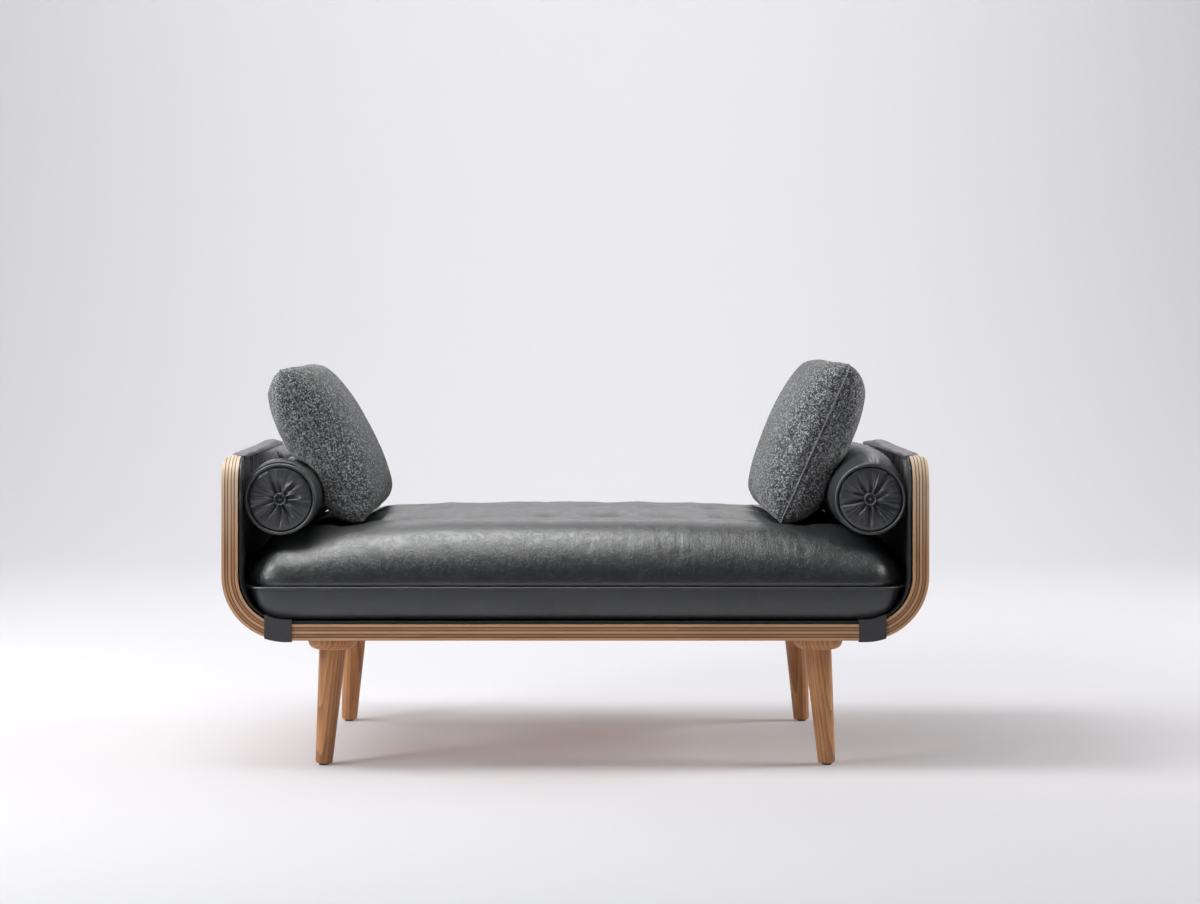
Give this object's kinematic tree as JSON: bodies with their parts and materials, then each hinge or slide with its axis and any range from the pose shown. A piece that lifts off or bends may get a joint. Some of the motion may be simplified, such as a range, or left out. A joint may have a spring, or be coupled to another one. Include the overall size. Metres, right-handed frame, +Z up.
{
  "type": "bench sofa",
  "caption": "Daybed bench: bent plywood shell lined with leather, turned splayed legs, loose tufted seat cushion, a bolster at each end and a wool pillow leaning on each bolster.",
  "frame": {"origin": "on the floor, under the middle of the bench", "axes": "+X along the bench, with the left end negative as the front is faced; +Y from the front to the back; +Z up"},
  "size_m": [1.3, 0.655, 0.7556],
  "materials": {
    "ply": "satin oiled oak face, bare layered edge",
    "solid_oak": "satin oiled turned oak",
    "lining_leather": "semi-matte black leather",
    "strap_leather": "matte black leather",
    "cushion_leather": "smooth charcoal leather with a soft sheen",
    "wool_boucle": "grey wool boucle, light and dark yarns",
    "foam": "polyurethane foam, hidden",
    "filling": "white cotton bag with a soft filling, hidden",
    "twine": "waxed twine and felt washers, hidden",
    "zip_tape": "black zip tape",
    "steel": "zinc-plated steel, hidden",
    "glide_plastic": "black plastic glide"
  },
  "bodies": {
    "bench": {"shell": "ply", "base_lining": "lining_leather", "end_lining_left": "lining_leather", "end_lining_right": "lining_leather", "rim_cap_left": "lining_leather", "rim_cap_right": "lining_leather", "strap_left": "strap_leather", "strap_right": "strap_leather", "leg_plate_front_left": "solid_oak", "leg_plate_front_right": "solid_oak", "leg_plate_back_left": "solid_oak", "leg_plate_back_right": "solid_oak", "leg_front_left": "solid_oak", "leg_front_right": "solid_oak", "leg_back_left": "solid_oak", "leg_back_right": "solid_oak", "hanger_bolts": "steel", "insert_nuts": "steel", "plate_screws": "steel", "glides": "glide_plastic"},
    "seat_cushion": {"seat_cover_top": "cushion_leather", "seat_cover_base": "cushion_leather", "seat_piping": "cushion_leather", "seat_core": "foam", "seat_tuft_ties": "twine", "seat_zip": "zip_tape"},
    "bolster_left": {"bolster_left_cover": "cushion_leather", "bolster_left_core": "foam", "bolster_left_ends": "cushion_leather", "bolster_left_piping": "cushion_leather", "bolster_left_buttons": "cushion_leather"},
    "bolster_right": {"bolster_right_cover": "cushion_leather", "bolster_right_core": "foam", "bolster_right_ends": "cushion_leather", "bolster_right_piping": "cushion_leather", "bolster_right_buttons": "cushion_leather"},
    "pillow_left": {"pillow_left_inner_cover": "wool_boucle", "pillow_left_outer_cover": "wool_boucle", "pillow_left_insert": "filling", "pillow_left_seam": "wool_boucle"},
    "pillow_right": {"pillow_right_inner_cover": "wool_boucle", "pillow_right_outer_cover": "wool_boucle", "pillow_right_insert": "filling", "pillow_right_seam": "wool_boucle"}
  },
  "joints": [
    {"name": "seat_lift", "type": "slide", "parent": "bench", "child": "seat_cushion", "axis": [0, 0, 1], "range_m": [0, 0.35]},
    {"name": "bolster_left_lift", "type": "slide", "parent": "seat_cushion", "child": "bolster_left", "axis": [0, 0, 1], "range_m": [0, 0.25]},
    {"name": "bolster_right_lift", "type": "slide", "parent": "seat_cushion", "child": "bolster_right", "axis": [0, 0, 1], "range_m": [0, 0.25]},
    {"name": "pillow_left_lift", "type": "slide", "parent": "bolster_left", "child": "pillow_left", "axis": [0, 0, 1], "range_m": [0, 0.3]},
    {"name": "pillow_right_lift", "type": "slide", "parent": "bolster_right", "child": "pillow_right", "axis": [0, 0, 1], "range_m": [0, 0.3]}
  ]
}
